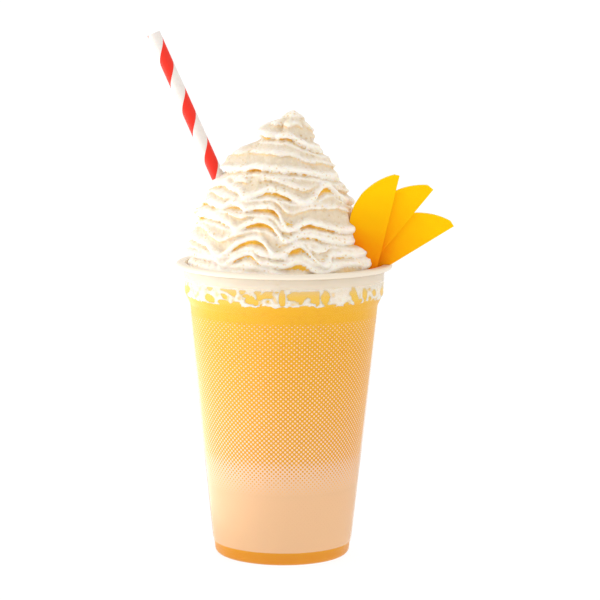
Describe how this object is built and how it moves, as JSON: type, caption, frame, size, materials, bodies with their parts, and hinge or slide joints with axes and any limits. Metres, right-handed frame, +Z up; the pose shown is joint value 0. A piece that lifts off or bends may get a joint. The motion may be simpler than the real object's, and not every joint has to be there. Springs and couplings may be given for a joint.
{
  "type": "mango smoothie",
  "caption": "Mango smoothie in a printed translucent plastic cup, topped with a tall piped swirl of whipped cream, with a striped paper straw and mango slices.",
  "frame": {"origin": "middle of the cup's foot, on the surface that it stands on, which is also on the cup's axis", "axes": "+Z up along the cup's axis, +X towards the mango slices, -Y towards the front, and the straw leans to -X"},
  "size_m": [0.1387, 0.098, 0.2381],
  "materials": {
    "cup_plastic": "glossy",
    "mango_drink": "satin",
    "cream": "satin",
    "straw_paper": "matte",
    "mango_flesh": "satin"
  },
  "bodies": {
    "root": {"cup": "cup_plastic", "smoothie": "mango_drink", "whipped_cream": "cream", "straw": "straw_paper", "mango_slice_front": "mango_flesh", "mango_slice_middle": "mango_flesh", "mango_slice_back": "mango_flesh"}
  },
  "joints": []
}
